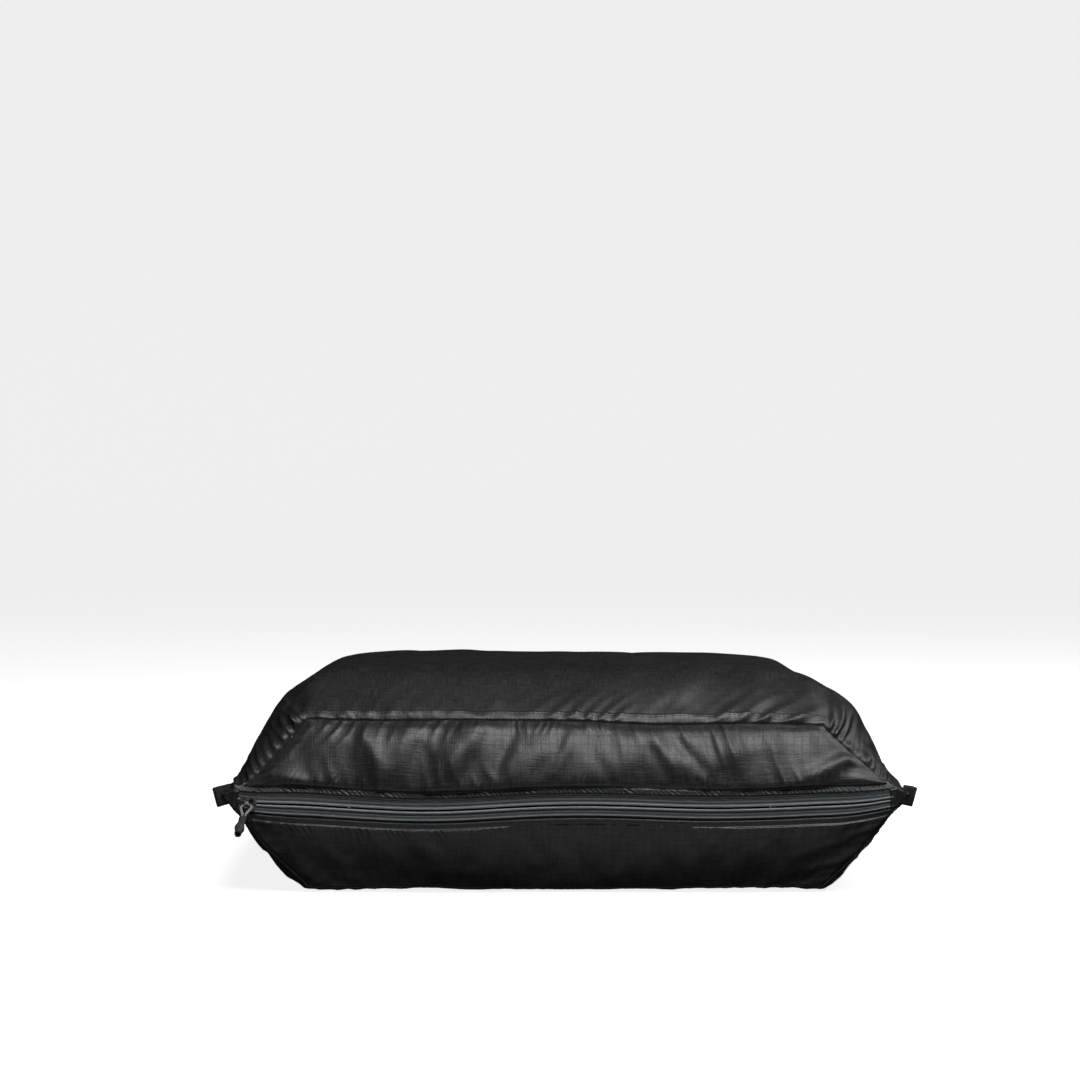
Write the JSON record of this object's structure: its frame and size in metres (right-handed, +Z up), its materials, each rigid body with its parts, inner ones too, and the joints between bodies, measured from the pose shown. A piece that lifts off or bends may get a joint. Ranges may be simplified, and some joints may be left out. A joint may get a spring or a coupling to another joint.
{
  "type": "packing cube",
  "caption": "Soft zipped packing cube of thin ripstop fabric with hexagonal ends, a front zip with a cord pull and webbing loops at the corners.",
  "frame": {"origin": "middle of the flat bottom, on the surface that the bag stands on", "axes": "+Z up, -Y towards the zipped front, +X along the zip from its shut end"},
  "size_m": [0.4566, 0.3542, 0.14],
  "materials": {
    "ripstop": "satin",
    "binding": "matte",
    "zip_tape": "satin",
    "zip_coil": "satin",
    "slider_metal": "gloss",
    "cord": "satin",
    "grip_tube": "satin",
    "webbing": "matte"
  },
  "bodies": {
    "bag": {"top_wrap_panel": "ripstop", "bottom_wrap_panel": "ripstop", "back_panel": "ripstop", "front_upper_corner_left": "ripstop", "front_upper_corner_right": "ripstop", "front_lower_corner_left": "ripstop", "front_lower_corner_right": "ripstop", "seam_binding_front": "binding", "seam_binding_back": "binding", "ridge_binding_left": "binding", "ridge_binding_right": "binding", "zip_tape_end_left": "zip_tape", "zip_tape_end_right": "zip_tape", "zip_tab_left": "ripstop", "zip_tab_right": "ripstop"},
    "upper_lip": {"front_upper_panel": "ripstop", "zip_tape_upper": "zip_tape", "zip_coil_upper": "zip_coil"},
    "lower_lip": {"front_lower_panel": "ripstop", "zip_tape_lower": "zip_tape", "zip_coil_lower": "zip_coil"},
    "slider": {"slider_body": "slider_metal"},
    "pull": {"pull_cord": "cord", "pull_grip": "grip_tube"},
    "left_loop": {"webbing_loop_left": "webbing"},
    "right_loop": {"webbing_loop_right": "webbing"}
  },
  "joints": [
    {"name": "slider_travel", "type": "slide", "parent": "bag", "child": "slider", "axis": [1, 0, 0], "range_m": [0, 0.39]},
    {"name": "pull_swing", "type": "hinge", "parent": "slider", "child": "pull", "pos_m": [-0.2, -0.154, 0.06], "axis": [1, 0, 0], "range_deg": [-95, 70]},
    {"name": "upper_lip_open", "type": "hinge", "parent": "bag", "child": "upper_lip", "pos_m": [0, -0.1275, 0.1084], "axis": [-1, 0, 0], "range_deg": [0, 70]},
    {"name": "lower_lip_open", "type": "hinge", "parent": "bag", "child": "lower_lip", "pos_m": [0, -0.1304, 0.0049], "axis": [1, 0, 0], "range_deg": [0, 50]},
    {"name": "left_loop_swing", "type": "hinge", "parent": "bag", "child": "left_loop", "pos_m": [-0.2172, -0.1462, 0.06], "axis": [-0.2588, 0, 0.9659], "range_deg": [-30, 50]},
    {"name": "right_loop_swing", "type": "hinge", "parent": "bag", "child": "right_loop", "pos_m": [0.2172, -0.1462, 0.06], "axis": [-0.2588, 0, -0.9659], "range_deg": [0, 86]}
  ]
}
